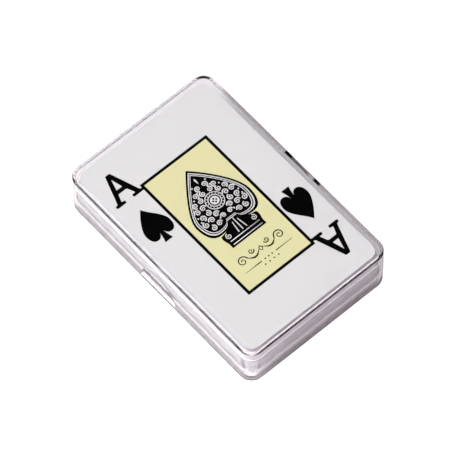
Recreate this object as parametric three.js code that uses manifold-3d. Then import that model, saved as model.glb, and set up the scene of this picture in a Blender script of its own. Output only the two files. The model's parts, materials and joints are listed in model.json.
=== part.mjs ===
// Clear two-part playing-card case with a full deck of cards in it.
//
// Millimetres, +Z up. The origin is the middle of the tray's underside, which stands on the table.
// +Y runs along the cards, towards the top of the upturned ace, and +X runs across them.
// The tray holds the deck. The lid slips over the tray's wall and stands on the rim of its floor.

import * as THREE from "three";
import { mergeVertices } from "three/addons/utils/BufferGeometryUtils.js";
import Module from "manifold-3d";

const wasm = await Module();
wasm.setup();

// ---- Driving dimensions ---------------------------------------------------------------------

// Bridge-size playing card
const CARD_WIDTH = 57.15;
const CARD_LENGTH = 88.9;
const CARD_THICKNESS = 0.285;
const CARD_CORNER = 3.5;
const CARD_STAGGER = 0.12; // how far a card lies off the middle of the deck

// Side of the case, from the cards outwards
const CARD_CLEARANCE = 0.35;
const TRAY_WALL = 0.9;
const SLIP_GAP = 0.15;
const LID_WALL = 1.1;

// Heights
const FLOOR_THICKNESS = 2;
const TRAY_WALL_TOP = 13;
const HEADROOM = 0.81;
const ROOF_THICKNESS = 1.2;

// Roundings and the half-round thumb notches in the lid's long sides
const CASE_CORNER = 5;
const LID_EDGE_ROUND = 0.9;
const FLOOR_EDGE_ROUND = 0.4;
const NOTCH_RADIUS = 8.75;

// Smoothness: straight steps in each corner, each edge rounding and round a whole notch circle
const CARD_CORNER_STEPS = 6;
const CASE_CORNER_STEPS = 10;
const EDGE_ROUND_STEPS = 3;
const NOTCH_STEPS = 64;
const ARC_DIVISIONS_PER_SEGMENT = 2; // an extrusion cuts an arc into twice its curveSegments

// The deck from the bottom up: two jokers, then each suit from king to ace
const SUITS = ["hearts", "clubs", "diamonds", "spades"];
const RANKS = [
  "king", "queen", "jack", "ten", "nine", "eight", "seven",
  "six", "five", "four", "three", "two", "ace",
];
const DECK = [
  "joker_first",
  "joker_second",
  ...SUITS.flatMap((suit) => RANKS.map((rank) => `${suit}_${rank}`)),
];

// ---- Worked-out dimensions ------------------------------------------------------------------

const SIDE = CARD_CLEARANCE + TRAY_WALL + SLIP_GAP + LID_WALL;
const CASE_WIDTH = CARD_WIDTH + 2 * SIDE;
const CASE_LENGTH = CARD_LENGTH + 2 * SIDE;
const DECK_TOP = FLOOR_THICKNESS + DECK.length * CARD_THICKNESS;
const CEILING = DECK_TOP + HEADROOM;
const CASE_HEIGHT = CEILING + ROOF_THICKNESS;

// ---- Materials ------------------------------------------------------------------------------

const crystalPlastic = new THREE.MeshStandardMaterial({
  color: 0xf3f3f7,
  roughness: 0.05,
  metalness: 0,
  transparent: true,
  opacity: 0.3,
});
const cardStock = new THREE.MeshStandardMaterial({
  color: 0xe8e7e6,
  roughness: 0.45,
  metalness: 0,
});

// ---- Shapes ---------------------------------------------------------------------------------

// The case's outline pushed inwards by inset, as a shape in the XY plane
function caseOutline(inset) {
  return roundedRectangle(
    CASE_WIDTH - 2 * inset,
    CASE_LENGTH - 2 * inset,
    CASE_CORNER - inset,
  );
}

function roundedRectangle(width, length, radius) {
  const x = width / 2 - radius;
  const y = length / 2 - radius;
  const quarter = Math.PI / 2;
  return new THREE.Shape()
    .moveTo(x, -y - radius)
    .absarc(x, -y, radius, -quarter, 0)
    .absarc(x, y, radius, 0, quarter)
    .absarc(-x, y, radius, quarter, 2 * quarter)
    .absarc(-x, -y, radius, 2 * quarter, 3 * quarter);
}

// A straight-sided prism of the shape between two heights
function prism(shape, bottom, top, cornerSteps) {
  return new THREE.ExtrudeGeometry(shape, {
    depth: top - bottom,
    curveSegments: cornerSteps / ARC_DIVISIONS_PER_SEGMENT,
    bevelEnabled: false,
  }).translate(0, 0, bottom);
}

// A slab of the shape whose upper and lower edges are rounded inside its outline
function roundedSlab(shape, bottom, top, edgeRound) {
  return new THREE.ExtrudeGeometry(shape, {
    depth: top - bottom - 2 * edgeRound,
    curveSegments: CASE_CORNER_STEPS / ARC_DIVISIONS_PER_SEGMENT,
    bevelEnabled: true,
    bevelThickness: edgeRound,
    bevelSize: edgeRound,
    bevelOffset: -edgeRound,
    bevelSegments: EDGE_ROUND_STEPS,
  }).translate(0, 0, bottom + edgeRound);
}

// ---- Solids ---------------------------------------------------------------------------------

function solidOf(geometry) {
  const bare = geometry.clone();
  bare.deleteAttribute("normal");
  bare.deleteAttribute("uv");
  const merged = mergeVertices(bare, 1e-4);
  return new wasm.Manifold(
    new wasm.Mesh({
      numProp: 3,
      vertProperties: new Float32Array(merged.getAttribute("position").array),
      triVerts: new Uint32Array(merged.getIndex().array),
    }),
  );
}

function geometryOf(solid) {
  const mesh = solid.getMesh();
  const geometry = new THREE.BufferGeometry();
  geometry.setAttribute("position", new THREE.BufferAttribute(mesh.vertProperties, 3));
  geometry.setIndex(new THREE.BufferAttribute(mesh.triVerts, 1));
  geometry.computeVertexNormals();
  return geometry;
}

// ---- Sub-parts ------------------------------------------------------------------------------

// The floor has the case's full outline, and the wall stands on it inside the lid's skirt.
function trayGeometry() {
  const wallOutside = LID_WALL + SLIP_GAP;
  const wallInside = wallOutside + TRAY_WALL;
  const floorEdge = roundedSlab(
    caseOutline(0),
    0,
    FLOOR_THICKNESS,
    FLOOR_EDGE_ROUND,
  );
  const floorRim = prism(
    caseOutline(0),
    FLOOR_THICKNESS / 2,
    FLOOR_THICKNESS,
    CASE_CORNER_STEPS,
  );
  const wall = prism(
    caseOutline(wallOutside),
    FLOOR_THICKNESS / 2,
    TRAY_WALL_TOP,
    CASE_CORNER_STEPS,
  );
  const hollow = prism(
    caseOutline(wallInside),
    FLOOR_THICKNESS,
    TRAY_WALL_TOP + 1,
    CASE_CORNER_STEPS,
  );
  return geometryOf(
    solidOf(floorEdge)
      .add(solidOf(floorRim))
      .add(solidOf(wall))
      .subtract(solidOf(hollow)),
  );
}

// A round-edged roof on a skirt, hollow from below, with a thumb notch through each long side
function lidGeometry() {
  const roof = roundedSlab(
    caseOutline(0),
    CASE_HEIGHT - 4 * LID_EDGE_ROUND,
    CASE_HEIGHT,
    LID_EDGE_ROUND,
  );
  const skirt = prism(
    caseOutline(0),
    FLOOR_THICKNESS,
    CASE_HEIGHT - LID_EDGE_ROUND,
    CASE_CORNER_STEPS,
  );
  const hollow = prism(
    caseOutline(LID_WALL),
    0,
    CEILING,
    CASE_CORNER_STEPS,
  );
  const notch = new THREE.CylinderGeometry(
    NOTCH_RADIUS,
    NOTCH_RADIUS,
    2 * CASE_WIDTH,
    NOTCH_STEPS,
  )
    .rotateZ(Math.PI / 2)
    .translate(0, 0, FLOOR_THICKNESS);
  return geometryOf(
    solidOf(roof)
      .add(solidOf(skirt))
      .subtract(solidOf(hollow))
      .subtract(solidOf(notch)),
  );
}

// One card lying face up, level number counted from the bottom of the deck
function cardMesh(name, level) {
  const outline = roundedRectangle(CARD_WIDTH, CARD_LENGTH, CARD_CORNER);
  const bottom = FLOOR_THICKNESS + level * CARD_THICKNESS;
  const top = FLOOR_THICKNESS + (level + 1) * CARD_THICKNESS;
  const geometry = prism(outline, bottom, top, CARD_CORNER_STEPS);
  const isTopCard = level === DECK.length - 1;
  if (!isTopCard) {
    const across = CARD_STAGGER * Math.sin(2.4 * level);
    const along = CARD_STAGGER * Math.sin(1.7 * level + 1);
    geometry.translate(across, along, 0);
  }
  return namedMesh(name, geometry, cardStock);
}

function namedMesh(name, geometry, material) {
  const mesh = new THREE.Mesh(geometry, material);
  mesh.name = name;
  return mesh;
}

// ---- Assembly -------------------------------------------------------------------------------

const cardCase = new THREE.Group();
cardCase.add(namedMesh("base_tray", trayGeometry(), crystalPlastic));
cardCase.add(namedMesh("lid", lidGeometry(), crystalPlastic));

const deck = new THREE.Group();
DECK.forEach((name, level) => deck.add(cardMesh(`card_${name}`, level)));
cardCase.add(deck);

export default cardCase;
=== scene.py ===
"""A clear two-part case with a full deck of playing cards: its looks, laid out as an add-on.

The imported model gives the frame. Case, cards and print are modelled here and ride on its bodies.
Lengths are metres; the print is drawn in millimetres on the card, x across and y along.
"""
import json
import math

import bmesh
import bpy
from bpy.props import FloatProperty, FloatVectorProperty, PointerProperty
from mathutils import Euler, Matrix, Vector


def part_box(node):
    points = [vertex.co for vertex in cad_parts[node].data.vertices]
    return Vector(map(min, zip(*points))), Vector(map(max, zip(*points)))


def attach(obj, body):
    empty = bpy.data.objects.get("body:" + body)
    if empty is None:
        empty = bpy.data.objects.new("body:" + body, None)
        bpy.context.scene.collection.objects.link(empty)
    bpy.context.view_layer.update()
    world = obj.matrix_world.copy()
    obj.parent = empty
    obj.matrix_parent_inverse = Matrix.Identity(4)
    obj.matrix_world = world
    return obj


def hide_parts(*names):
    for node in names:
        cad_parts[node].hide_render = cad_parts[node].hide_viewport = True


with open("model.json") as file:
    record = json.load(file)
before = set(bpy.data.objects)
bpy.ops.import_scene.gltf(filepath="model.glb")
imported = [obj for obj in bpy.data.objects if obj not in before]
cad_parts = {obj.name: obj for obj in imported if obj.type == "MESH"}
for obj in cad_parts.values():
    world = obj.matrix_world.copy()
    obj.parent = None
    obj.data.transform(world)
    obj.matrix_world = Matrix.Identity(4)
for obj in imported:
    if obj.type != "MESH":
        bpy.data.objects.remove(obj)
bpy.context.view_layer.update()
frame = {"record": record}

bl_info = {
    "name": "Playing Card Case",
    "version": (1, 0, 0),
    "blender": (4, 5, 0),
    "location": "View3D > Sidebar > Card Case",
    "description": "Models a clear card case, its deck of cards and the print on them",
    "category": "Add Mesh",
}

MM = 0.001
NEAR = 0.02 * MM  # two places closer than this are the same place
TRAY_LOW, TRAY_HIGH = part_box("base_tray")
LID_LOW, LID_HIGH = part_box("lid")
BODIES = frame["record"]["behaviour"]["bodies"]
CARDS_BY_BODY = {
    body: [node for node in nodes if node.startswith("card_")]
    for body, nodes in BODIES.items()
}


# ---- Settings -------------------------------------------------------------------------------


class CardCaseSizes(bpy.types.PropertyGroup):
    """The sizes of the case and the cards."""

    case_corner: FloatProperty(
        name="Case Corner",
        description="Radius of the case's upright corners",
        default=5.0 * MM,
        unit="LENGTH",
    )
    lid_wall: FloatProperty(
        name="Lid Wall",
        description="Thickness of the lid's skirt",
        default=1.1 * MM,
        unit="LENGTH",
    )
    roof: FloatProperty(
        name="Lid Roof",
        description="Thickness of the lid's roof",
        default=1.2 * MM,
        unit="LENGTH",
    )
    tray_wall: FloatProperty(
        name="Tray Wall",
        description="Thickness of the wall round the deck",
        default=0.9 * MM,
        unit="LENGTH",
    )
    slip_gap: FloatProperty(
        name="Slip Gap",
        description="Play between the tray's wall and the lid's skirt",
        default=0.15 * MM,
        unit="LENGTH",
    )
    notch_radius: FloatProperty(
        name="Thumb Notch",
        description="Radius of the half-round notches in the lid's long sides",
        default=8.75 * MM,
        unit="LENGTH",
    )
    roof_round: FloatProperty(
        name="Roof Edge",
        description="Radius of the lid's upper edge",
        default=0.9 * MM,
        unit="LENGTH",
    )
    card_corner: FloatProperty(
        name="Card Corner",
        description="Radius of a card's corners",
        default=3.5 * MM,
        unit="LENGTH",
    )
    card_air: FloatProperty(
        name="Air Between Cards",
        description="Gap that is left above each card, where its print lies",
        default=0.02 * MM,
        unit="LENGTH",
    )


class CardCaseColours(bpy.types.PropertyGroup):
    """The colours of the plastic, the card and the print."""

    plastic: FloatVectorProperty(
        name="Plastic",
        description="Tint of the clear plastic",
        subtype="COLOR",
        default=(0.97, 0.965, 0.975),
    )
    card: FloatVectorProperty(
        name="Card",
        description="Coated face of a card",
        subtype="COLOR",
        default=(0.655, 0.668, 0.65),
    )
    card_edge: FloatVectorProperty(
        name="Card Edge",
        description="Cut edge of a card",
        subtype="COLOR",
        default=(0.54, 0.475, 0.58),
    )
    back: FloatVectorProperty(
        name="Card Back",
        description="Red print on the backs",
        subtype="COLOR",
        default=(0.5, 0.02, 0.03),
    )
    panel: FloatVectorProperty(
        name="Panel",
        description="Pale yellow panel behind the large spade",
        subtype="COLOR",
        default=(0.677, 0.666, 0.37),
    )
    black: FloatVectorProperty(
        name="Black Print",
        description="Black ink",
        subtype="COLOR",
        default=(0.001, 0.001, 0.001),
    )


class CardCaseStage(bpy.types.PropertyGroup):
    """Where the camera stands, and how strong the lights are."""

    azimuth: FloatProperty(
        name="Azimuth",
        description="Turn of the camera round the case, in degrees",
        default=-40.42,
    )
    elevation: FloatProperty(
        name="Elevation",
        description="Height of the camera above the horizon, in degrees",
        default=61.22,
    )
    roll: FloatProperty(
        name="Roll",
        description="Turn of the picture, in degrees",
        default=-0.89,
    )
    distance: FloatProperty(
        name="Distance",
        description="From the camera to the case",
        default=1.61,
        unit="LENGTH",
    )
    lens: FloatProperty(
        name="Lens",
        description="Focal length, in millimetres",
        default=375.9,
    )
    key_watts: FloatProperty(
        name="Key Light",
        description="Power of the large soft light on the left",
        default=23.4,
    )


# ---- Shader sums ----------------------------------------------------------------------------


class Value:
    """One output socket. Sums on it add Math nodes to its material."""

    def __init__(self, tree, socket):
        self.tree = tree
        self.socket = socket

    def math(self, operation, *terms):
        node = self.tree.nodes.new("ShaderNodeMath")
        node.operation = operation
        for place, term in enumerate(terms):
            plug(self.tree, node.inputs[place], term)
        return Value(self.tree, node.outputs[0])

    def __add__(self, other):
        return self.math("ADD", self, other)

    def __sub__(self, other):
        return self.math("SUBTRACT", self, other)

    def __rsub__(self, other):
        return self.math("SUBTRACT", other, self)

    def __mul__(self, other):
        return self.math("MULTIPLY", self, other)

    def __gt__(self, other):
        return self.math("GREATER_THAN", self, other)

    def __lt__(self, other):
        return self.math("LESS_THAN", self, other)

    def __abs__(self):
        return self.math("ABSOLUTE", self)

    def larger(self, other):
        return self.math("MAXIMUM", self, other)

    def wave(self, pitch):
        """0 to 1 and back once in each pitch."""
        return self.math("PINGPONG", self, pitch / 2) * (2 / pitch)

    __radd__ = __add__
    __rmul__ = __mul__


def plug(tree, socket, term):
    """Links a Value to a socket, or sets the socket to a plain number or colour."""
    if isinstance(term, Value):
        tree.links.new(term.socket, socket)
    elif isinstance(term, (int, float)) or len(term) == len(socket.default_value):
        socket.default_value = term
    else:
        socket.default_value = (*term, 1)


class Finish:
    """The nodes of a new material or world, empty but for its output."""

    def __init__(self, owner, output="ShaderNodeOutputMaterial"):
        owner.use_nodes = True
        self.owner = owner
        self.tree = owner.node_tree
        self.tree.nodes.clear()
        self.out = self.tree.nodes.new(output)

    @classmethod
    def of_material(cls, name):
        return cls(bpy.data.materials.new(name))

    @classmethod
    def of_world(cls, name):
        return cls(bpy.data.worlds.new(name), "ShaderNodeOutputWorld")

    def node(self, kind, settings=None, inputs=None, output=0):
        """Adds a node: its settings first, then its sockets. Returns one of its outputs."""
        made = self.tree.nodes.new("ShaderNode" + kind)
        for name, setting in (settings or {}).items():
            setattr(made, name, setting)
        for name, term in (inputs or {}).items():
            plug(self.tree, made.inputs[name], term)
        return Value(self.tree, made.outputs[output])

    def place(self):
        """x, y and z of the point in the piece's own coordinates."""
        return self.split(self.node("TexCoord", output="Object"))

    def split(self, vector):
        """The three parts of a vector."""
        parts = self.tree.nodes.new("ShaderNodeSeparateXYZ")
        plug(self.tree, parts.inputs[0], vector)
        return [Value(self.tree, output) for output in parts.outputs]

    def noise(self, scale, detail=2.0, stretch=(1, 1, 1)):
        """Noise of so many lumps to the metre, drawn out along an axis by a small stretch."""
        place = self.node(
            "Mapping",
            inputs={
                "Vector": self.node("TexCoord", output="Object"),
                "Scale": tuple(scale * s for s in stretch),
            },
        )
        return self.node("TexNoise", inputs={"Vector": place, "Scale": 1.0, "Detail": detail})

    def blend(self, mask, first, second):
        """The first colour where mask is 0 and the second where it is 1."""
        mix = self.tree.nodes.new("ShaderNodeMix")
        mix.data_type = "RGBA"
        plug(self.tree, mix.inputs["Factor"], mask)
        colours = [s for s in mix.inputs if s.type == "RGBA"]
        for socket, colour in zip(colours, (first, second)):
            plug(self.tree, socket, colour)
        return Value(self.tree, next(s for s in mix.outputs if s.type == "RGBA"))

    def ramp(self, value, start, end):
        """1 up to the start, smoothly down to 0 at the end."""
        return self.node(
            "MapRange",
            {"interpolation_type": "SMOOTHSTEP"},
            {"Value": value, "From Min": start, "From Max": end, "To Min": 1.0, "To Max": 0.0},
        )

    def mixed(self, mask, first, second, adding=False):
        """The first shader where mask is 0 and the second where it is 1, or both together."""
        mix = self.tree.nodes.new("ShaderNodeAddShader" if adding else "ShaderNodeMixShader")
        terms = (first, second) if adding else (mask, first, second)
        for socket, term in zip(mix.inputs, terms):
            plug(self.tree, socket, term)
        return Value(self.tree, mix.outputs[0])

    def bump(self, height, strength, depth):
        """A normal for a surface that a height from 0 to 1 lifts by up to depth."""
        return self.node(
            "Bump",
            inputs={"Height": height, "Strength": strength, "Distance": depth},
        )

    def surface(self, shader):
        """Puts a shader on the output. Returns the finished material or world."""
        plug(self.tree, self.out.inputs["Surface"], shader)
        return self.owner


# ---- Materials ------------------------------------------------------------------------------

POLISH = 0.015  # roughness of the plastic
SCUFFED = 0.05  # what a scuff adds to it
SCUFF_LEVEL = 0.62  # the higher, the fewer scuffs
SHADE_OF_PLASTIC = (0.93, 0.925, 0.935)  # what one wall lets through to its shadow
LINEN_PITCH = 0.45 * MM
LINEN_DEPTH = 0.01 * MM


def scaled(colour, share):
    """A colour with each part multiplied by a share."""
    return tuple(share * part for part in colour)


def clear_plastic():
    """Polished crystal polystyrene: clear, faintly wavy and very lightly scuffed."""
    colours = bpy.context.scene.card_case_colours
    finish = Finish.of_material("Clear plastic")
    scuffs = finish.noise(900, detail=4, stretch=(1, 0.12, 1))
    waves = finish.noise(45)
    glass = finish.node(
        "BsdfPrincipled",
        inputs={
            "Base Color": tuple(colours.plastic),
            "Roughness": POLISH + SCUFFED * (scuffs > SCUFF_LEVEL) * scuffs,
            "IOR": 1.55,
            "Transmission Weight": 1.0,
            "Normal": finish.bump(waves, 0.003, 0.1 * MM),
        },
    )
    through = finish.node("BsdfTransparent", inputs={"Color": SHADE_OF_PLASTIC})
    shadow_ray = finish.node("LightPath", output="Is Shadow Ray")
    return finish.surface(finish.mixed(shadow_ray, glass, through))


def back_lattice(x, y):
    """Mask of a card back: red where 1. A framed lattice of diamonds with a dot in each."""
    half_across, half_along = 25.3 * MM, 40.8 * MM  # of the printed field
    band = 1.4 * MM  # the red line round it
    clear_line = 0.5 * MM  # and the pale one inside that
    pitch = 3.6 * MM
    line_share, dot_share = 0.16, 0.8  # where in each pitch the lines end and the dots start
    edge = (abs(x) - half_across).larger(abs(y) - half_along)
    rise = (x + y).wave(pitch)
    fall = (x - y).wave(pitch)
    lines = (rise < line_share).larger(fall < line_share)
    dots = (rise > dot_share) * (fall > dot_share)
    field = 1 - lines.larger(dots)
    inked = (edge > -band).larger(field)
    gap = (edge > -band - clear_line) * (edge < -band)
    return (edge < 0) * inked * (1 - gap)


def card_stock():
    """Coated card: satin face with a fine linen emboss, dull cut edge and a red back."""
    colours = bpy.context.scene.card_case_colours
    finish = Finish.of_material("Card stock")
    x, y = finish.place()[:2]
    normal = finish.split(finish.node("TexCoord", output="Normal"))
    cloudy = finish.noise(60, detail=3)
    bunches = finish.noise(520, detail=1, stretch=(0.001, 0.001, 1))
    face = finish.blend(cloudy, tuple(colours.card), scaled(colours.card, 0.97))
    back = finish.blend(back_lattice(x, y), face, tuple(colours.back))
    edge = finish.blend(bunches > 0.5, tuple(colours.card_edge), scaled(colours.card_edge, 0.72))
    is_back = normal[2] < -0.5
    is_edge = abs(normal[2]) < 0.5
    colour = finish.blend(is_edge, finish.blend(is_back, face, back), edge)
    linen = (x.wave(LINEN_PITCH) + y.wave(LINEN_PITCH)) * (1 - is_edge)
    return finish.surface(
        finish.node(
            "BsdfPrincipled",
            inputs={
                "Base Color": colour,
                "Roughness": 0.38 + 0.35 * is_edge + 0.08 * cloudy,
                "Specular IOR Level": 0.4,
                "Normal": finish.bump(linen, 0.05, LINEN_DEPTH),
            },
        )
    )


def ink(name, colour, unevenness):
    """A layer of print: satin, and a little uneven as printed solids are."""
    finish = Finish.of_material(name)
    mottle = finish.noise(1400, detail=3)
    return finish.surface(
        finish.node(
            "BsdfPrincipled",
            inputs={
                "Base Color": finish.blend(mottle, tuple(colour), scaled(colour, 1 + unevenness)),
                "Roughness": 0.5 + 0.1 * mottle,
                "Specular IOR Level": 0.0,
            },
        )
    )


# ---- Mesh helpers ---------------------------------------------------------------------------


def bevel(bm, edges, width, steps):
    """Rounds edges off."""
    bmesh.ops.bevel(
        bm,
        geom=edges,
        offset=width,
        offset_type="OFFSET",
        segments=steps,
        profile=0.5,
        affect="EDGES",
        material=-1,
    )


def rounded_block(low, high, corner, steps):
    """A block between two corners of its box, with its four upright edges rounded."""
    bm = bmesh.new()
    bmesh.ops.create_cube(bm, size=1)
    bmesh.ops.scale(bm, vec=high - low, verts=bm.verts)
    bmesh.ops.translate(bm, vec=(low + high) / 2, verts=bm.verts)
    upright = [e for e in bm.edges if abs(e.verts[0].co.z - e.verts[1].co.z) > NEAR]
    bevel(bm, upright, corner, steps)
    return bm


def flat_face(bm, height, facing):
    """The level face at a height that looks up (1) or down (-1)."""
    return next(
        f
        for f in bm.faces
        if abs(f.calc_center_median().z - height) < NEAR and f.normal.z * facing > 0.9
    )


def inset(bm, face, thickness):
    """Shrinks a face inside its outline, leaving a level rim round it."""
    bmesh.ops.inset_region(
        bm, faces=[face], thickness=thickness, use_even_offset=True, use_boundary=True
    )
    return face


def drawn(bm, face, rise):
    """Extrudes a level face up or down by rise and returns the moved face."""
    made = bmesh.ops.extrude_discrete_faces(bm, faces=[face])["faces"][0]
    bmesh.ops.translate(bm, vec=(0, 0, rise), verts=made.verts)
    return made


def depth_inside(point):
    """How far a point lies inside the case's rounded outline, seen from above."""
    corner = bpy.context.scene.card_case_sizes.case_corner
    across = abs(point.x) - (LID_HIGH.x - corner)
    along = abs(point.y) - (LID_HIGH.y - corner)
    beyond = math.hypot(max(across, 0), max(along, 0)) + min(max(across, along), 0)
    return corner - beyond


def ring(bm, height, depth):
    """The edges of the level loop at a height and a depth inside the case's outline."""
    return [
        e
        for e in bm.edges
        if all(
            abs(v.co.z - height) < NEAR and abs(depth_inside(v.co) - depth) < NEAR
            for v in e.verts
        )
    ]


def made_piece(bm, name, material, body, replaced=(), smooth=True):
    """Turns a bmesh into a finished piece on its body."""
    mesh = bpy.data.meshes.new(name)
    bm.to_mesh(mesh)
    bm.free()
    mesh.materials.append(material)
    piece = bpy.data.objects.new(name, mesh)
    bpy.context.collection.objects.link(piece)
    if smooth:
        mesh.shade_smooth()
        weighted = piece.modifiers.new("Flat stays flat", "WEIGHTED_NORMAL")
        weighted.keep_sharp = False
    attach(piece, body)
    if replaced:
        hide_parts(*replaced)


def material(name, maker):
    """The material of that name, made the first time it is asked for."""
    return bpy.data.materials.get(name) or maker()


# ---- The case -------------------------------------------------------------------------------

TRAY_FOOT_ROUND = 0.4 * MM
FLOOR_RIM_ROUND = 0.1 * MM  # the edge of the floor that the lid stands on
TRAY_WALL_ROUND = 0.25 * MM
TRAY_FILLET = 0.2 * MM  # where the wall meets the floor inside
LID_FILLET = 0.5 * MM  # where the roof meets the skirt inside
LID_RIM_ROUND = 0.15 * MM
CORNER_STEPS = 14  # facets of each upright corner


class CARDCASE_OT_tray(bpy.types.Operator):
    """Models the tray: a floor with the case's full outline and a wall round the deck"""

    bl_idname = "card_case.tray"
    bl_label = "Tray"

    def execute(self, context):
        sizes = context.scene.card_case_sizes
        floor_top = LID_LOW.z
        wall_rise = TRAY_HIGH.z - floor_top
        outer = sizes.lid_wall + sizes.slip_gap
        inner = outer + sizes.tray_wall
        low = TRAY_LOW
        high = Vector((TRAY_HIGH.x, TRAY_HIGH.y, floor_top))
        bm = rounded_block(low, high, sizes.case_corner, CORNER_STEPS)
        face = inset(bm, flat_face(bm, floor_top, 1), outer)
        face = drawn(bm, face, wall_rise)
        face = inset(bm, face, sizes.tray_wall)
        drawn(bm, face, -wall_rise)
        bevel(bm, ring(bm, low.z, 0), TRAY_FOOT_ROUND, steps=4)
        bevel(bm, ring(bm, floor_top, 0), FLOOR_RIM_ROUND, steps=2)
        bevel(bm, ring(bm, TRAY_HIGH.z, outer), TRAY_WALL_ROUND, steps=3)
        bevel(bm, ring(bm, TRAY_HIGH.z, inner), TRAY_WALL_ROUND, steps=3)
        bevel(bm, ring(bm, floor_top, inner), TRAY_FILLET, steps=3)
        made_piece(
            bm,
            "tray_moulding",
            material("Clear plastic", clear_plastic),
            "base",
            replaced=["base_tray"],
        )
        return {"FINISHED"}


class CARDCASE_OT_lid(bpy.types.Operator):
    """Models the lid: a round-edged roof on a skirt with two thumb notches"""

    bl_idname = "card_case.lid"
    bl_label = "Lid"

    def execute(self, context):
        sizes = context.scene.card_case_sizes
        skirt_foot = LID_LOW.z
        ceiling = LID_HIGH.z - sizes.roof
        bm = rounded_block(LID_LOW, LID_HIGH, sizes.case_corner, CORNER_STEPS)
        face = inset(bm, flat_face(bm, skirt_foot, -1), sizes.lid_wall)
        drawn(bm, face, ceiling - skirt_foot)
        bevel(bm, ring(bm, LID_HIGH.z, 0), sizes.roof_round, steps=7)
        bevel(bm, ring(bm, ceiling, sizes.lid_wall), LID_FILLET, steps=5)
        bm = without(bm, self.notch_cutter(sizes, skirt_foot))
        rims = self.notch_rims(bm, sizes, skirt_foot)
        bevel(bm, rims, LID_RIM_ROUND, steps=2)
        made_piece(
            bm,
            "lid_moulding",
            material("Clear plastic", clear_plastic),
            "lid",
            replaced=["lid"],
        )
        return {"FINISHED"}

    @staticmethod
    def notch_cutter(sizes, height):
        """A round bar across the case at the height of the skirt's foot."""
        bm = bmesh.new()
        bmesh.ops.create_cone(
            bm,
            cap_ends=True,
            segments=96,
            radius1=sizes.notch_radius,
            radius2=sizes.notch_radius,
            depth=4 * LID_HIGH.x,
        )
        turn = Vector((0, 0, 1)).rotation_difference(Vector((1, 0, 0))).to_matrix()
        bmesh.ops.rotate(bm, matrix=turn, verts=bm.verts)
        bmesh.ops.translate(bm, vec=(0, 0, height), verts=bm.verts)
        return bm

    @staticmethod
    def notch_rims(bm, sizes, foot):
        """The edges of both notches' arches and of the skirt's foot, inside and outside."""

        def on_a_side(v):
            depth = depth_inside(v.co)
            return abs(depth) < NEAR or abs(depth - sizes.lid_wall) < NEAR

        def on_an_arch(v):
            return abs(math.hypot(v.co.y, v.co.z - foot) - sizes.notch_radius) < NEAR

        rims = []
        for e in bm.edges:
            a, b = e.verts
            same_side = abs(depth_inside(a.co) - depth_inside(b.co)) < NEAR
            if not (same_side and on_a_side(a) and on_a_side(b)):
                continue
            at_foot = abs(a.co.z - foot) < NEAR and abs(b.co.z - foot) < NEAR
            if at_foot or (on_an_arch(a) and on_an_arch(b)):
                rims.append(e)
        return rims


def without(bm, cutter):
    """A bmesh with the solid cutter taken out of it."""
    objects = []
    for part, name in ((bm, "blank"), (cutter, "cutter")):
        mesh = bpy.data.meshes.new(name)
        part.to_mesh(mesh)
        part.free()
        made = bpy.data.objects.new(name, mesh)
        bpy.context.collection.objects.link(made)
        objects.append(made)
    blank, tool = objects
    cut = blank.modifiers.new("Cut", "BOOLEAN")
    cut.operation = "DIFFERENCE"
    cut.solver = "EXACT"
    cut.object = tool
    depsgraph = bpy.context.evaluated_depsgraph_get()
    result = bmesh.new()
    result.from_mesh(blank.evaluated_get(depsgraph).to_mesh())
    for made in objects:
        bpy.data.objects.remove(made)
    bmesh.ops.remove_doubles(result, verts=result.verts, dist=NEAR / 10)
    return result


# ---- The cards ------------------------------------------------------------------------------


LOWEST_CARD = CARDS_BY_BODY["deck_lower"][0]
WETTED = 0.01 * MM  # how far the lowest card is pressed into the tray's polished floor
CARD_EDGE_ROUND = 0.05 * MM


class CARDCASE_OT_cards(bpy.types.Operator):
    """Models every card of the deck with round corners and softened cut edges"""

    bl_idname = "card_case.cards"
    bl_label = "Cards"

    def execute(self, context):
        for body, nodes in CARDS_BY_BODY.items():
            for node in nodes:
                self.card(context.scene.card_case_sizes, node, body)
        return {"FINISHED"}

    @staticmethod
    def card(sizes, node, body):
        """One card, a little thinner than its place in the deck."""
        low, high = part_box(node)
        high = high - Vector((0, 0, sizes.card_air))
        if node == LOWEST_CARD:
            low = low - Vector((0, 0, WETTED))
        bm = rounded_block(low, high, sizes.card_corner, steps=8)
        level = [e for e in bm.edges if abs(e.verts[0].co.z - e.verts[1].co.z) < NEAR]
        bevel(bm, level, CARD_EDGE_ROUND, steps=2)
        made_piece(
            bm,
            node.removeprefix("card_") + "_card",
            material("Card stock", card_stock),
            body,
            replaced=[node],
        )


# ---- The print ------------------------------------------------------------------------------

LAYER = 0.015  # thickness of one layer of print on the upturned ace, in millimetres
THIN_LAYER = 0.004  # and on a card that has another one on it


def knot(x, y, before=None, after=None):
    """A point of an outline with the handles of its curve, in millimetres."""
    here = (x, y)
    return here, before or here, after or here


def mirrored(half):
    """A whole outline from its right half, which runs from top to bottom."""
    left = [
        ((-x, y), (-after[0], after[1]), (-before[0], before[1]))
        for (x, y), before, after in reversed(half)
        if abs(x) > 1e-6
    ]
    return half + left


def rounded_corners(points, radius):
    """Knots of a straight-sided outline whose corners are rounded by radius."""
    knots = []
    for place, corner in enumerate(points):
        corner = Vector(corner)
        following = points[(place + 1) % len(points)]
        for other, is_before in ((points[place - 1], True), (following, False)):
            way = Vector(other) - corner
            spot = corner + way.normalized() * min(radius, way.length / 2)
            pull = spot + (corner - spot) * 0.55  # nearly a quarter circle
            straight = spot + way.normalized() * 0.01
            if is_before:
                knots.append((tuple(spot), tuple(straight), tuple(pull)))
            else:
                knots.append((tuple(spot), tuple(pull), tuple(straight)))
    return knots


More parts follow.
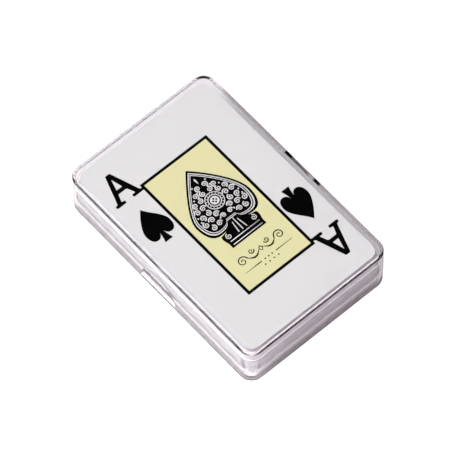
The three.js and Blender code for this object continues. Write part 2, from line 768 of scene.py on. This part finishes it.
def add_outline(curve, knots):
    """Adds a closed outline to a curve."""
    spline = curve.splines.new("BEZIER")
    spline.bezier_points.add(len(knots) - 1)
    for point, (here, before, after) in zip(spline.bezier_points, knots):
        point.handle_left_type = point.handle_right_type = "FREE"
        point.co = (*here, 0)
        point.handle_left = (*before, 0)
        point.handle_right = (*after, 0)
    spline.use_cyclic_u = True
    spline.resolution_u = 10


def mesh_of(curve):
    """A bmesh of a curve, in the curve's own units."""
    holder = bpy.data.objects.new(curve.name, curve)
    bpy.context.collection.objects.link(holder)
    depsgraph = bpy.context.evaluated_depsgraph_get()
    bm = bmesh.new()
    bm.from_mesh(holder.evaluated_get(depsgraph).to_mesh())
    bpy.data.objects.remove(holder)
    bpy.data.curves.remove(curve)
    bmesh.ops.remove_doubles(bm, verts=bm.verts, dist=1e-4)
    return bm


def filled(outlines, thickness):
    """A flat plate of the outlines, holes left open, from z = 0 up to its thickness."""
    curve = bpy.data.curves.new("plate", "CURVE")
    curve.dimensions = "2D"
    curve.fill_mode = "BOTH"
    curve.extrude = thickness / 2
    for knots in outlines:
        add_outline(curve, knots)
    bm = mesh_of(curve)
    bmesh.ops.translate(bm, vec=(0, 0, thickness / 2), verts=bm.verts)
    return bm


def strokes(paths, width, thickness):
    """Flat pen strokes. A path is a list of (x, y, share of the width)."""
    curve = bpy.data.curves.new("strokes", "CURVE")
    curve.dimensions = "3D"
    curve.bevel_depth = width / 2
    curve.bevel_resolution = 1
    curve.use_fill_caps = True
    for path in paths:
        spline = curve.splines.new("POLY")
        spline.points.add(len(path) - 1)
        for point, (x, y, share) in zip(spline.points, path):
            point.co = (x, y, 0, 1)
            point.radius = share
    bm = mesh_of(curve)
    bmesh.ops.scale(bm, vec=(1, 1, thickness / width), verts=bm.verts)
    bmesh.ops.translate(bm, vec=(0, 0, thickness / 2), verts=bm.verts)
    return bm


def joined(parts):
    """One bmesh from several."""
    whole = bmesh.new()
    for part in parts:
        mesh = bpy.data.meshes.new("part")
        part.to_mesh(mesh)
        part.free()
        whole.from_mesh(mesh)
        bpy.data.meshes.remove(mesh)
    return whole


def at(bm, x=0.0, y=0.0, size=1.0):
    """Moves a drawn shape to its place on the card. A size below 0 turns it upside down."""
    bmesh.ops.scale(bm, vec=(size, size, 1), verts=bm.verts)
    bmesh.ops.translate(bm, vec=(x, y, 0), verts=bm.verts)
    return bm


def spade_outline():
    """A card's small spade, 10.6 wide and 15 high."""
    return mirrored(
        [
            knot(0, 7.5, after=(1.2, 4.6)),
            knot(5.3, -1.7, before=(5.3, 1.6), after=(5.3, -4.0)),
            knot(2.95, -5.45, before=(4.5, -5.45), after=(1.7, -5.45)),
            knot(0.75, -3.2, before=(0.9, -4.6), after=(0.9, -4.6)),
            knot(1.65, -7.5, before=(1.2, -6.3)),
        ]
    )


def disc(x, y, radius):
    """A round outline."""
    pull = 0.5523 * radius  # the handle that makes a quarter circle
    return [
        knot(x + radius, y, before=(x + radius, y - pull), after=(x + radius, y + pull)),
        knot(x, y + radius, before=(x + pull, y + radius), after=(x - pull, y + radius)),
        knot(x - radius, y, before=(x - radius, y + pull), after=(x - radius, y - pull)),
        knot(x, y - radius, before=(x - pull, y - radius), after=(x + pull, y - radius)),
    ]


def club_outline():
    """A card's small club, 12 wide and 14 high."""
    return mirrored(
        [
            knot(0, 7.2, after=(1.75, 7.2)),
            knot(3.15, 4.1, before=(3.15, 5.8), after=(3.15, 2.9)),
            knot(1.75, 1.55, before=(2.6, 2.1), after=(2.2, 1.75)),
            knot(3.1, 1.9, before=(2.6, 1.9), after=(4.8, 1.9)),
            knot(6.2, -1.2, before=(6.2, 0.5), after=(6.2, -2.9)),
            knot(3.1, -4.3, before=(4.8, -4.3), after=(1.8, -4.3)),
            knot(0.7, -2.3, before=(1.0, -3.2), after=(0.9, -4.4)),
            knot(1.9, -7.0, before=(1.3, -6.2)),
        ]
    )


def letter_a():
    """The rank letter of an ace, 11.6 wide and 12.3 high, with slab feet."""
    outside = [
        (-0.95, 12.35), (0.95, 12.35), (4.9, 1.15), (5.85, 1.15), (5.85, 0.0), (1.4, 0.0),
        (1.4, 1.15), (2.95, 1.15), (1.65, 4.2), (-1.95, 4.2), (-3.1, 1.15), (-1.8, 1.15),
        (-1.8, 0.0), (-5.85, 0.0), (-5.85, 1.15), (-4.85, 1.15),
    ]
    counter = [(-1.42, 5.75), (1.05, 5.75), (-0.12, 10.1)]
    return [rounded_corners(outside, 0.35), rounded_corners(counter, 0.1)]


def figure_two():
    """The rank figure of a two, 8 wide and 12.3 high, as one pen stroke."""
    reach = 3.3
    arch = [
        (reach * math.cos(turn), 8.4 + reach * math.sin(turn), 1.0)
        for turn in (math.radians(180 - 12 * step) for step in range(19))
    ]
    return arch + [(-reach, 0.75, 1.0), (3.9, 0.75, 1.0)]


INDEX_X, INDEX_Y = -20.48, 25.67  # foot of the rank letter
PIP_X, PIP_Y = -20.83, 13.05  # middle of the small pip under it
FINE_LINE = 0.36  # widths of the pen strokes
SCROLL_LINE = 0.44


class CARDCASE_OT_ace_print(bpy.types.Operator):
    """Prints the ace of spades: indices, panel, large spade and its ornament"""

    bl_idname = "card_case.ace_print"
    bl_label = "Ace of Spades Print"

    def execute(self, context):
        self.panel()
        self.black()
        self.white()
        return {"FINISHED"}

    @staticmethod
    def panel():
        bm = filled([square_frame(*PANEL_HALF)], LAYER)
        print_piece(bm, "ace_of_spades_panel", "Yellow ink", layer=0)

    @staticmethod
    def black():
        parts = [
            filled([square_frame(*PANEL_HALF), square_frame(*PANEL_INSIDE)], LAYER),
            at(filled([great_spade()], LAYER), x=GREAT_SPADE_X),
            at(filled([pedestal()], LAYER), x=GREAT_SPADE_X),
            at(strokes(flourish(), FINE_LINE, LAYER), y=FLOURISH_Y, size=FLOURISH_SIZE),
            at(filled(flourish_dots(), LAYER), y=FLOURISH_Y, size=FLOURISH_SIZE),
        ]
        for end in (1, -1):
            parts.append(at(filled(letter_a(), LAYER), end * INDEX_X, end * INDEX_Y, end))
            parts.append(at(filled([spade_outline()], LAYER), end * PIP_X, end * PIP_Y, end))
        print_piece(joined(parts), "ace_of_spades_black_print", "Black ink", layer=1)

    @staticmethod
    def white():
        parts = [
            filled([inner_spade(0.93), inner_spade(0.895)], LAYER),
            filled([inner_spade(0.865), inner_spade(0.84)], LAYER),
            strokes(scrolls(), SCROLL_LINE, LAYER),
            strokes(medallion(), FINE_LINE, LAYER),
            filled(rosette() + beads(), LAYER),
            strokes(pedestal_lines(), FINE_LINE, LAYER),
        ]
        bm = at(joined(parts), x=GREAT_SPADE_X)
        print_piece(bm, "ace_of_spades_white_print", "White ink", layer=2)


PANEL_HALF = (14.78, 27.85)  # half the panel's width and half its length
PANEL_INSIDE = (13.7, 26.77)  # and the same inside its black border


def square_frame(across, along):
    """A rectangle about the middle of the card, from its half width and half length."""
    return [knot(-across, -along), knot(across, -along), knot(across, along), knot(-across, along)]


GREAT_SPADE_X = 0.4
BLADE_MIDDLE_Y = 6.3
MEDALLION_Y = 6.8
FLOURISH_Y = -18.6
FLOURISH_SIZE = 1.08


def great_spade():
    """The large spade's blade, 23.8 wide."""
    return mirrored(
        [
            knot(0, 21.8, after=(4.6, 17.4)),
            knot(11.9, 2.8, before=(11.9, 8.2), after=(11.9, -2.2)),
            knot(7.2, -4.9, before=(10.3, -4.9), after=(4.4, -4.9)),
            knot(2.4, -2.6, before=(2.9, -4.2)),
            knot(0, -2.6),
        ]
    )


def inner_spade(size):
    """The blade's outline drawn smaller, for the white lines that run inside it."""
    return [
        tuple((size * x, BLADE_MIDDLE_Y + size * (y - BLADE_MIDDLE_Y)) for x, y in points)
        for points in great_spade()
    ]


def pedestal():
    """The foot that the large spade stands on."""
    return mirrored(
        [
            knot(0, -1.0),
            knot(2.2, -1.0, after=(2.6, -3.8)),
            knot(7.7, -5.4, before=(4.8, -5.2), after=(8.3, -6.6)),
            knot(7.4, -9.0, before=(7.6, -8.2)),
            knot(7.4, -11.1),
            knot(0, -11.1),
        ]
    )


SPIRAL_STEPS = 26  # in each turn
EYE = 0.85  # the share of a scroll at which its eye begins


def spiral(x, y, radius, turns, start, handed):
    """A scroll that winds inwards round (x, y), thins out, and ends in a heavy eye."""
    steps = int(SPIRAL_STEPS * turns)
    path = []
    for step in range(steps + 1):
        share = step / steps
        reach = radius * (1 - 0.86 * share**0.85)
        angle = start + handed * share * turns * 2 * math.pi
        weight = 1.15 - 0.5 * share if share < EYE else 0.73 + 3.2 * (share - EYE)
        path.append((x + reach * math.cos(angle), y + reach * math.sin(angle), weight))
    return path


def both_sides(paths):
    """The paths and their mirror images."""
    return paths + [[(-x, y, share) for x, y, share in path] for path in paths]


def scrolls():
    """The filigree inside the large spade: pairs of scrolls round the medallion."""
    places = (
        # across, up, radius, quarter turns before the start, turning way
        (1.5, 13.9, 1.2, 3, 1),
        (1.5, 11.3, 1.15, 1, -1),
        (4.0, 12.0, 1.2, 3, -1),
        (4.0, 9.6, 1.15, 1, 1),
        (6.4, 9.3, 1.15, 3, 1),
        (5.0, 7.0, 1.2, 2, -1),
        (7.6, 6.8, 1.25, 0, 1),
        (4.9, 4.4, 1.2, 1, 1),
        (7.6, 4.1, 1.25, 3, -1),
        (8.4, 1.4, 1.25, 1, -1),
        (5.7, 1.7, 1.25, 0, 1),
        (3.0, 2.5, 1.2, 2, -1),
        (7.1, -1.1, 1.2, 1, 1),
        (4.4, -0.9, 1.15, 2, -1),
        (1.5, 0.6, 1.05, 0, 1),
    )
    right = [
        spiral(x, y, radius, 1.55, quarters * math.pi / 2, handed)
        for x, y, radius, quarters, handed in places
    ]
    stem = [[(0.0, 15.2, 0.6), (0.0, 16.8, 1.8), (0.0, 17.6, 0.5)]]
    return both_sides(right) + stem


def circle(y, radius):
    """A ring round a point of the large spade's middle line, as a stroke."""
    steps = 48
    turn = 2 * math.pi / steps
    return [
        (radius * math.cos(turn * s), y + radius * math.sin(turn * s), 1.0)
        for s in range(steps + 1)
    ]


def medallion():
    """Two rings in the middle of the large spade."""
    return [circle(MEDALLION_Y, 3.35), circle(MEDALLION_Y, 2.3)]


def rosette():
    """The white boss of the medallion, pierced by four dots."""
    four_ways = ((0.7, 0), (-0.7, 0), (0, 0.7), (0, -0.7))
    dots = [disc(x, MEDALLION_Y + y, 0.36) for x, y in four_ways]
    return [disc(0, MEDALLION_Y, 1.65), *dots]


def beads():
    """White dots between the medallion's rings and in the gaps between the scrolls."""
    reach = 2.83
    ring_beads = [
        disc(reach * math.cos(turn), MEDALLION_Y + reach * math.sin(turn), 0.19)
        for turn in (math.pi / 8 * bead for bead in range(16))
    ]
    gaps = ((2.9, 15.1), (5.5, 11.0), (9.0, 3.1), (3.0, 0.4), (8.9, 5.0), (2.8, 12.7))
    buds = [disc(side * x, y, 0.3) for x, y in gaps for side in (1, -1)]
    return ring_beads + buds


def pedestal_lines():
    """Flutes, two volutes and a double base line on the foot."""
    flutes = [[(x, -2.2 - abs(x), 1.0), (1.6 * x, -7.7, 1.3)] for x in (-1.1, 0.0, 1.1)]
    volutes = both_sides([spiral(5.5, -6.75, 1.2, 1.5, math.pi / 2, -1)])
    base = [[(-6.4, y, 1.0), (6.4, y, 1.0)] for y in (-8.7, -10.2)]
    return flutes + volutes + base


def flourish():
    """A plain ornament under the spade: paired curls over a rule that is broken by dots."""
    right_curl = spiral(7.4, 1.4, 1.9, 1.5, math.pi, -1)
    sweep = [
        (0.9 + 4.6 * s, 1.4 - 1.3 * math.sin(math.pi * s), 0.5 + 1.1 * math.sin(math.pi * s))
        for s in (step / 14 for step in range(14))
    ]
    small_curl = spiral(3.1, 2.6, 1.1, 1.3, math.pi, 1)
    rule = [(2.9, -2.3, 1.0), (9.6, -2.3, 0.35)]
    lozenge = [(0, 2.3, 1.0), (0.7, 1.4, 1.0), (0, 0.5, 1.0), (-0.7, 1.4, 1.0), (0, 2.3, 1.0)]
    return both_sides([sweep + right_curl, small_curl, rule]) + [lozenge]


def flourish_dots():
    """Two rows of dots under the flourish."""
    upper = [disc(x, -2.3, 0.27) for x in (-1.4, 0.0, 1.4)]
    lower = [disc(x, -3.9, 0.27) for x in (-2.7, -0.9, 0.9, 2.7)]
    return upper + lower


INKS = {
    # name: its colour among the settings, how much lighter it is in places
    "Black ink": ("black", 0.3),
    "Yellow ink": ("panel", -0.05),
    "White ink": ("card", -0.03),
}


def print_piece(bm, name, ink_name, layer, card="card_spades_ace", thickness=LAYER):
    """Lays a drawn shape on a card as one layer of its print."""
    colour_name, unevenness = INKS[ink_name]
    colours = bpy.context.scene.card_case_colours
    low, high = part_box(card)
    middle = (low + high) / 2
    air = bpy.context.scene.card_case_sizes.card_air
    bmesh.ops.scale(bm, vec=(MM, MM, MM), verts=bm.verts)
    lift = high.z - air + layer * thickness * MM
    bmesh.ops.translate(bm, vec=(middle.x, middle.y, lift), verts=bm.verts)
    body = next(body for body, nodes in CARDS_BY_BODY.items() if card in nodes)
    coat = material(ink_name, lambda: ink(ink_name, getattr(colours, colour_name), unevenness))
    made_piece(bm, name, coat, body, smooth=False)


class CARDCASE_OT_pip_print(bpy.types.Operator):
    """Prints the faces that show when the deck is cut: the two of spades and ace of clubs"""

    bl_idname = "card_case.pip_print"
    bl_label = "Pip Card Print"

    def execute(self, context):
        spades = []
        clubs = [at(filled([club_outline()], THIN_LAYER), size=1.7)]
        for end in (1, -1):
            index = (end * INDEX_X, end * INDEX_Y, end)
            pip = (end * PIP_X, end * PIP_Y, end)
            large_pip = (0, end * 24.0, end * 1.1)
            spades.append(at(strokes([figure_two()], 1.5, THIN_LAYER), *index))
            spades.append(at(filled([spade_outline()], THIN_LAYER), *pip))
            spades.append(at(filled([spade_outline()], THIN_LAYER), *large_pip))
            clubs.append(at(filled(letter_a(), THIN_LAYER), *index))
            clubs.append(at(filled([club_outline()], THIN_LAYER), *pip))
        for parts, name, card in (
            (spades, "two_of_spades_print", "card_spades_two"),
            (clubs, "ace_of_clubs_print", "card_clubs_ace"),
        ):
            print_piece(joined(parts), name, "Black ink", 0, card, THIN_LAYER)
        return {"FINISHED"}


# ---- The stage ------------------------------------------------------------------------------

MIDDLE = Vector((0, 0, 10 * MM))
AIM_OFFSET = (0.55 * MM, -1.17 * MM)  # how far right and up of the middle the camera looks
DARK_OVERHEAD = 0.01  # brightness of the room above the case
HORIZON_GLOW = 0.2  # and of its far walls
BACKDROP = 0.9  # and of what stands behind the case
FLOOR_GLOW = 0.85  # how much paler the floor looks than the light it throws back
GLOW_THROUGH = 0.38  # share of that glow that is seen through the plastic
FLOOR_TONE = (0.74, 0.71, 0.73)
FLOOR_HALF = 6  # from the middle of the floor to its edge
ROOM_TONE = (0.95, 0.96, 1.0)
LIGHT_BOUNCES = 24  # enough for light to cross every wall of the case
AIR_UNDER = 0.05 * MM  # the film of air between the case and the floor


class CARDCASE_OT_stage(bpy.types.Operator):
    """Sets up the pale floor, the soft lights and the camera"""

    bl_idname = "card_case.stage"
    bl_label = "Stage"

    def execute(self, context):
        self.floor()
        self.world(context.scene)
        self.lights(context.scene.card_case_stage)
        self.camera(context.scene)
        cycles = context.scene.cycles
        cycles.caustics_reflective = False
        cycles.caustics_refractive = True
        cycles.max_bounces = LIGHT_BOUNCES
        cycles.transmission_bounces = LIGHT_BOUNCES
        cycles.transparent_max_bounces = LIGHT_BOUNCES
        context.scene.view_settings.view_transform = "Standard"
        return {"FINISHED"}

    @staticmethod
    def floor():
        """A pale cloth that the camera sees as brighter than the light it throws back."""
        bm = bmesh.new()
        bmesh.ops.create_grid(bm, x_segments=2, y_segments=2, size=FLOOR_HALF)
        bmesh.ops.translate(bm, vec=(0, 0, -AIR_UNDER), verts=bm.verts)
        mesh = bpy.data.meshes.new("floor")
        bm.to_mesh(mesh)
        bm.free()
        floor = bpy.data.objects.new("floor", mesh)
        bpy.context.collection.objects.link(floor)
        finish = Finish.of_material("Pale floor")
        mottled = finish.blend(finish.noise(3), FLOOR_TONE, scaled(FLOOR_TONE, 1.04))
        cloth = finish.node("BsdfDiffuse", inputs={"Color": mottled})
        glow = finish.node("Emission", inputs={"Strength": FLOOR_GLOW})
        both = finish.mixed(0.5, cloth, glow, adding=True)
        seen = finish.node("LightPath", output="Is Camera Ray")
        through = finish.node("LightPath", output="Is Transmission Ray")
        share = seen.larger(GLOW_THROUGH * through)
        mesh.materials.append(finish.surface(finish.mixed(share, cloth, both)))

    @staticmethod
    def world(scene):
        """A dim room: dark overhead, and pale towards the horizon and behind the case."""
        finish = Finish.of_world("Studio")
        scene.world = finish.owner
        height = finish.split(finish.node("TexCoord", output="Generated"))[2]
        low_glow = HORIZON_GLOW * finish.ramp(height, 0.1, 0.6)
        seen = finish.node("LightPath", output="Is Camera Ray")
        strength = DARK_OVERHEAD + low_glow.larger(BACKDROP * seen)
        finish.surface(
            finish.node("Background", inputs={"Color": ROOM_TONE, "Strength": strength})
        )

    @staticmethod
    def lights(stage):
        """Three softboxes that look at the case."""
        white, mauve = (1, 1, 1), (1, 0.84, 0.93)
        softboxes = (
            # name, place, width, height, share of the key's power, colour
            ("key", (-1.2, 0.25, 0.62), 1.1, 0.8, 1.0, white),
            ("back", (-0.5, 0.75, 1.2), 0.8, 0.8, 0.5, white),
            ("front", (0.35, -1.2, 0.55), 0.9, 0.5, 0.3, mauve),
        )
        for name, place, width, height, share, colour in softboxes:
            light = bpy.data.lights.new(name, "AREA")
            light.color = colour
            light.shape = "RECTANGLE"
            light.size = width
            light.size_y = height
            light.energy = stage.key_watts * share
            lamp = bpy.data.objects.new(name, light)
            lamp.visible_transmission = False  # its light crosses the plastic all the same
            lamp.location = place
            way = MIDDLE - Vector(place)
            lamp.rotation_euler = way.to_track_quat("-Z", "Y").to_euler()
            bpy.context.collection.objects.link(lamp)

    @staticmethod
    def camera(scene):
        """A long lens that looks down at the case from its near left corner."""
        stage = scene.card_case_stage
        turn, rise, roll = map(math.radians, (stage.azimuth, stage.elevation, stage.roll))
        looking = Euler((math.pi / 2 - rise, 0, turn)).to_matrix()
        looking = looking @ Matrix.Rotation(roll, 3, "Z")
        data = bpy.data.cameras.new("camera")
        data.lens = stage.lens
        data.sensor_width = 36
        camera = bpy.data.objects.new("camera", data)
        camera.rotation_euler = looking.to_euler()
        aim = looking @ Vector((*AIM_OFFSET, stage.distance))
        camera.location = MIDDLE + aim
        bpy.context.collection.objects.link(camera)
        scene.camera = camera


# ---- The add-on -----------------------------------------------------------------------------

PIECE_OPERATORS = (
    CARDCASE_OT_stage,
    CARDCASE_OT_tray,
    CARDCASE_OT_lid,
    CARDCASE_OT_cards,
    CARDCASE_OT_ace_print,
    CARDCASE_OT_pip_print,
)


class CARDCASE_PT_panel(bpy.types.Panel):
    """Lists the pieces of the card case"""

    bl_idname = "CARDCASE_PT_panel"
    bl_label = "Card Case"
    bl_space_type = "VIEW_3D"
    bl_region_type = "UI"
    bl_category = "Card Case"

    def draw(self, context):
        column = self.layout.column()
        for operator in PIECE_OPERATORS:
            column.operator(operator.bl_idname)


SETTINGS = {
    "card_case_sizes": CardCaseSizes,
    "card_case_colours": CardCaseColours,
    "card_case_stage": CardCaseStage,
}


def register():
    for group in SETTINGS.values():
        bpy.utils.register_class(group)
    for name, group in SETTINGS.items():
        setattr(bpy.types.Scene, name, PointerProperty(type=group))
    for operator in PIECE_OPERATORS:
        bpy.utils.register_class(operator)
    bpy.utils.register_class(CARDCASE_PT_panel)


def unregister():
    bpy.utils.unregister_class(CARDCASE_PT_panel)
    for operator in reversed(PIECE_OPERATORS):
        bpy.utils.unregister_class(operator)
    for name in SETTINGS:
        delattr(bpy.types.Scene, name)
    for group in SETTINGS.values():
        bpy.utils.unregister_class(group)


def main():
    register()
    for operator in PIECE_OPERATORS:
        module, name = operator.bl_idname.split(".")
        getattr(getattr(bpy.ops, module), name)()


if __name__ == "__main__":
    main()
